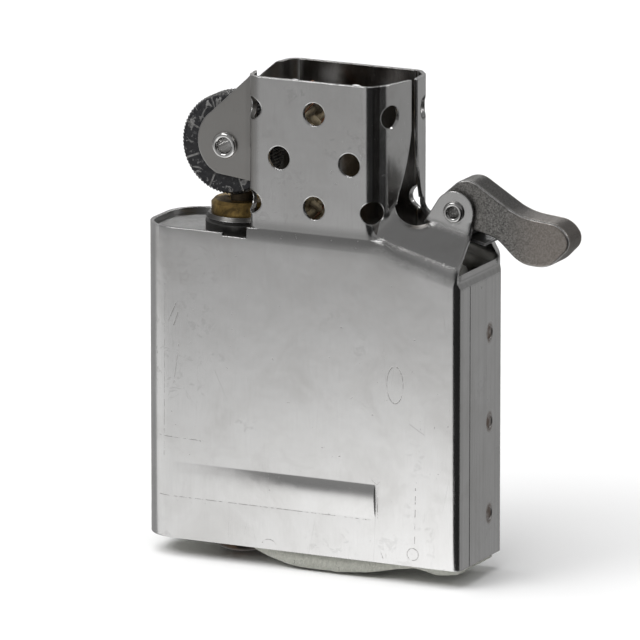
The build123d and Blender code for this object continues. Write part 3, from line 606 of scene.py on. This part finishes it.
def make_felt():
    """One felt: tucked up round the flint screw, sagging out of the tank towards its free end."""
    flap_low, flap_high = node_box("felt_flap")
    left, right, half = node_box("felt_pad")[0][0], flap_high[0] + 0.45, flap_high[1] + 0.1
    screw_low, screw_high = node_box("flint_screw")
    screw_x = (screw_low[0] + screw_high[0]) / 2
    hole_r = (screw_high[0] - screw_low[0]) / 2 + 0.32
    columns, rows = 96, 26

    def half_width(x):
        inset = x - left
        if inset < CORNER_R:
            return half - CORNER_R + math.sqrt(max(CORNER_R**2 - (CORNER_R - inset) ** 2, 0.02))
        return half - 0.5 * max(0.0, (x - right + 1.2) / 1.2) ** 3

    bm = bmesh.new()
    layers = {}     # vertices by layer (0 the underside, 1 the top), column and row
    for layer in (0, 1):
        for column in range(columns + 1):
            share = column / columns
            x = left + (right - left) * share
            low, top = felt_profile(x)
            for row in range(rows + 1):
                across = 2 * row / rows - 1
                y = across * half_width(x)
                lump = noise.noise(Vector((x * 0.35, y * 0.35, 3.1 + layer))) * 0.22
                lump += noise.noise(Vector((x * 1.4, y * 1.4, 7.7 + layer))) * 0.07
                edge = abs(across) ** 6
                ends = max(0.0, 1 - min(x - left, right - x) / 0.8)
                crown = 0.2 * max(edge, ends**2)
                if layer == 0:
                    height = max(low + crown + abs(lump) * 0.7, 0.03)
                else:
                    height = top - crown + lump * 0.5 - 0.12
                layers[layer, column, row] = bm.verts.new(mm(x, y, height))

    def in_hole(column, row):
        x = left + (right - left) * (column + 0.5) / columns
        y = (2 * (row + 0.5) / rows - 1) * half_width(x)
        return (x - screw_x) ** 2 + y**2 < (hole_r + 0.12) ** 2

    solid = {(column, row): not in_hole(column, row) for column in range(columns) for row in range(rows)}
    for (column, row), filled in solid.items():
        if not filled:
            continue
        corners = [(column, row), (column + 1, row), (column + 1, row + 1), (column, row + 1)]
        bm.faces.new([layers[0, c, r] for c, r in reversed(corners)])
        bm.faces.new([layers[1, c, r] for c, r in corners])
        sides = (((0, -1), 0, 1), ((1, 0), 1, 2), ((0, 1), 2, 3), ((-1, 0), 3, 0))
        for (step_c, step_r), first, second in sides:
            if not solid.get((column + step_c, row + step_r), False):
                (ca, ra), (cb, rb) = corners[first], corners[second]
                bm.faces.new((layers[0, ca, ra], layers[0, cb, rb], layers[1, cb, rb], layers[1, ca, ra]))
    # Round the stepped outline of the screw's hole
    for vert in bm.verts:
        offset = Vector((vert.co.x / MM - screw_x, vert.co.y / MM))
        if 0.1 < offset.length < hole_r + 0.28:
            onto = offset.normalized() * hole_r
            vert.co.x, vert.co.y = (screw_x + onto.x) * MM, onto.y * MM
    loose = [vert for vert in bm.verts if not vert.link_faces]
    bmesh.ops.delete(bm, geom=loose, context="VERTS")
    bmesh.ops.recalc_face_normals(bm, faces=bm.faces)
    mesh = bpy.data.meshes.new("felt")
    bm.to_mesh(mesh)
    bm.free()
    finish_mesh(mesh, FELT)
    felt = add_object("felt", mesh)
    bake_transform(felt)
    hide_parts("felt_pad", "felt_flap")


make_felt()


# ------------------------------------------------------------------ wick and its wires
def make_wick():
    """Braided wick: eight yarns over and under each other round a core, with copper strands."""
    low, high = node_box("wick")
    centre_x = (low[0] + high[0]) / 2
    outer = (high[0] - low[0]) / 2
    yarn_r = 0.36
    yarn_pitch, wire_pitch = 7.0, 9.0
    samples, wire_samples, core_samples = 150, 120, 20
    height = high[2] - low[2]
    paths = []
    for turn_way in (1, -1):
        for index in range(4):
            path = []
            for step in range(samples + 1):
                rise = step / samples
                angle = turn_way * (2 * math.pi * rise * height / yarn_pitch) + index * math.pi / 2
                weave = math.cos(angle * 4 * turn_way + (0 if turn_way > 0 else math.pi))
                radius = outer - yarn_r - 0.2 + 0.17 * weave
                z = low[2] + height * rise
                end = min(1.0, (1 - rise) * 30 + 0.55)
                path.append((mm(centre_x + radius * end * math.cos(angle), radius * end * math.sin(angle), z),
                             yarn_r * (0.75 + 0.25 * end) * MM))
            paths.append(path)
    paths.append([(mm(centre_x, 0, low[2] + 0.1 + (height - 0.25) * step / core_samples), (outer - 0.62) * MM)
                  for step in range(core_samples + 1)])
    wick = strands("wick_braid", paths, 8, WICK_YARN)
    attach(wick, "wick")
    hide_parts("wick")
    wire_low, wire_high = node_box("wick_wire")
    wire_height = wire_high[2] - wire_low[2]
    wires = []
    for index in range(3):
        path = []
        for step in range(wire_samples + 1):
            rise = step / wire_samples
            angle = 2 * math.pi * rise * wire_height / wire_pitch + index * 2 * math.pi / 3 + 0.5
            radius = outer - 0.2 + 0.03 * math.sin(rise * 40 + index)
            path.append((mm(centre_x + radius * math.cos(angle), radius * math.sin(angle),
                            wire_low[2] + wire_height * rise), 0.09 * MM))
        wires.append(path)
    wire = strands("wick_copper", wires, 6, COPPER)
    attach(wire, "wick")
    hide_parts("wick_wire")


make_wick()


# ------------------------------------------------------------------ cotton
def make_cotton(node_name, seed):
    """A wad of cotton wool: its CAD block crowned, creased and roughened."""
    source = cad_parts[node_name]
    mesh = source.data.copy()
    wad = add_object(node_name.replace("cotton_wad", "cotton_tuft"), mesh)
    wad.matrix_world = source.matrix_world.copy()
    remesh = wad.modifiers.new("remesh", "REMESH")
    remesh.mode = "VOXEL"
    remesh.voxel_size = 0.42 * MM
    graph = bpy.context.evaluated_depsgraph_get()
    mesh = bpy.data.meshes.new_from_object(wad.evaluated_get(graph))
    wad.modifiers.clear()
    wad.data = mesh
    bm = bmesh.new()
    bm.from_mesh(mesh)
    bmesh.ops.smooth_vert(bm, verts=bm.verts, factor=0.5,
                          use_axis_x=True, use_axis_y=True, use_axis_z=True)
    bm.normal_update()
    moves = {}
    for vert in bm.verts:
        place = vert.co / MM
        folds = noise.noise(Vector((place.x * 0.45, place.y * 0.45, place.z * 0.9 + seed)))
        tufts = noise.noise(Vector((place.x * 1.6 + seed, place.y * 1.6, place.z * 1.6)))
        moves[vert] = -(0.28 + 0.22 * folds + 0.14 * tufts)
    for vert, move in moves.items():
        vert.co += vert.normal * move * MM
    bm.to_mesh(mesh)
    bm.free()
    finish_mesh(mesh, COTTON)
    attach(wad, "tank")
    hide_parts(node_name)


for wad_number in range(1, 6):
    make_cotton(f"cotton_wad_{wad_number}", 13.7 * wad_number)

# ------------------------------------------------------------------ camera
VIEW_AZIMUTH = 25.9      # degrees from the front face, towards the cam
VIEW_ELEVATION = 13.3
VIEW_DISTANCE = 1.024
FOCAL_LENGTH = 571.0
TARGET = mm(0.29, -0.6, 25.2)


def direction(azimuth, elevation):
    """Unit vector from the object towards a place round it: azimuth from -Y towards +X."""
    a, e = math.radians(azimuth), math.radians(elevation)
    return Vector((math.sin(a) * math.cos(e), -math.cos(a) * math.cos(e), math.sin(e)))


def look_at(obj, place, target):
    obj.location = place
    obj.rotation_euler = (target - place).to_track_quat("-Z", "Y").to_euler()


camera_data = bpy.data.cameras.new("camera")
camera_data.lens = FOCAL_LENGTH
camera_data.sensor_width = 36.0
camera_data.clip_start = 0.01
camera_data.clip_end = 20.0
camera = add_object("camera", camera_data)
look_at(camera, TARGET + direction(VIEW_AZIMUTH, VIEW_ELEVATION) * VIEW_DISTANCE, TARGET)
bpy.context.scene.camera = camera


# ------------------------------------------------------------------ lights and studio
def soft_light(name, azimuth, elevation, distance, size, power):
    """A rectangular soft box, aimed at the object. size is in metres."""
    data = bpy.data.lights.new(name, "AREA")
    data.shape = "RECTANGLE"
    data.size, data.size_y = size
    data.energy = power
    look_at(add_object(name, data), TARGET + direction(azimuth, elevation) * distance, TARGET)


def sun_light(name, azimuth, elevation, angle, strength):
    """Even light for the floor and the matt pieces, which metal doesn't mirror."""
    data = bpy.data.lights.new(name, "SUN")
    data.energy = strength
    data.angle = math.radians(angle)
    lamp = add_object(name, data)
    look_at(lamp, direction(azimuth, elevation), Vector())
    lamp.visible_glossy = False


sun_light("sky", -30, 66, 70, 2.6)
soft_light("front_box", -34, 42, 0.55, (0.26, 0.14), 0.60)
soft_light("rear_box", 204, 34, 0.60, (0.24, 0.05), 0.34)
soft_light("side_box", 118, 38, 0.55, (0.12, 0.08), 0.16)


def card(name, corners, build_strength):
    """A studio card that only metal mirrors. build_strength makes its tone from the position,
    in millimetres."""
    mesh = bpy.data.meshes.new(name)
    mesh.from_pydata([tuple(corner) for corner in corners], [], [(0, 1, 2, 3)])
    shader = Shader(name)
    glow = shader.add("ShaderNodeEmission")
    shader.put(build_strength(shader), glow.inputs["Strength"])
    out = next(node for node in shader.tree.nodes if node.type == "OUTPUT_MATERIAL")
    shader.link(glow.outputs["Emission"], out.inputs["Surface"])
    mesh.materials.append(shader.material)
    obj = add_object(name, mesh)
    obj.visible_camera = False
    obj.visible_diffuse = False
    obj.visible_shadow = False
    obj.visible_transmission = False


def upright(azimuth_from, azimuth_to, distance, low, high):
    """Corners of an upright card, bottom edge first, between two azimuths round the object."""
    corners = []
    for azimuth, height in ((azimuth_from, low), (azimuth_to, low),
                            (azimuth_to, high), (azimuth_from, high)):
        flat = direction(azimuth, 0) * distance
        corners.append(Vector((flat.x, flat.y, height)))
    return corners


def front_glow(shader):
    """Bright beside the front face, more so at its right-hand end, and dimmer away from it."""
    forward = shader.product(shader.math("ADD", shader.y, 5.3), -1.0)
    # The place on the face that mirrors this point towards the camera
    slope = math.tan(math.radians(VIEW_AZIMUTH))
    mirrored = shader.math("ADD", shader.x, shader.product(forward, slope))
    near = shader.spread(mirrored, -22.0, 20.0, 1.04, 1.47)
    distance = shader.spread(forward, 0.0, 135.0)
    glow = shader.math("ADD", shader.product(near, shader.math("SUBTRACT", 1.0, distance)),
                       shader.product(distance, 0.47))
    return shader.product(glow, shader.spread(shader.x, -260.0, -60.0, 0.2, 1.0))


CARD_Z = 0.3                # height of the glowing card over the floor, in millimetres
FLAG_GLOW = 0.018
card("front_glow", [mm(-300, -4.5, CARD_Z), mm(19.5, -5.4, CARD_Z), mm(24, -420, CARD_Z),
                    mm(-420, -420, CARD_Z)], front_glow)
card("corner_flag", upright(4, 92, 0.22, -0.30, 0.10), lambda shader: FLAG_GLOW)

# World: dim overhead, a little lighter at eye level, as a room round a light tent
world = bpy.data.worlds.new("studio")
bpy.context.scene.world = world
world.use_nodes = True
tree = world.node_tree
background = tree.nodes["Background"]
sky_place = tree.nodes.new("ShaderNodeTexCoord")
sky_split = tree.nodes.new("ShaderNodeSeparateXYZ")
sky_ramp = tree.nodes.new("ShaderNodeValToRGB")
tree.links.new(sky_place.outputs["Generated"], sky_split.inputs[0])
sky_height = tree.nodes.new("ShaderNodeMapRange")
sky_height.inputs["From Min"].default_value = -1.0
tree.links.new(sky_split.outputs["Z"], sky_height.inputs["Value"])
tree.links.new(sky_height.outputs["Result"], sky_ramp.inputs["Fac"])
# Grey by height in the sky, from 0 straight down to 1 straight up
SKY = ((0.0, 0.34), (0.41, 0.36), (0.5, 0.24), (0.57, 0.24), (0.66, 0.34), (0.84, 0.22), (1.0, 0.19))
stops = sky_ramp.color_ramp.elements
while len(stops) < len(SKY):
    stops.new(0.5)
for stop, (place, tone) in zip(stops, SKY):
    stop.position = place
    stop.color = (tone, tone, tone, 1.0)
tree.links.new(sky_ramp.outputs["Color"], background.inputs["Color"])

bpy.ops.mesh.primitive_plane_add(size=6)
floor = bpy.context.object
floor.name = "floor"
floor.data.materials.append(floor_paint())
floor.visible_glossy = False

bpy.context.scene.view_settings.view_transform = "Standard"
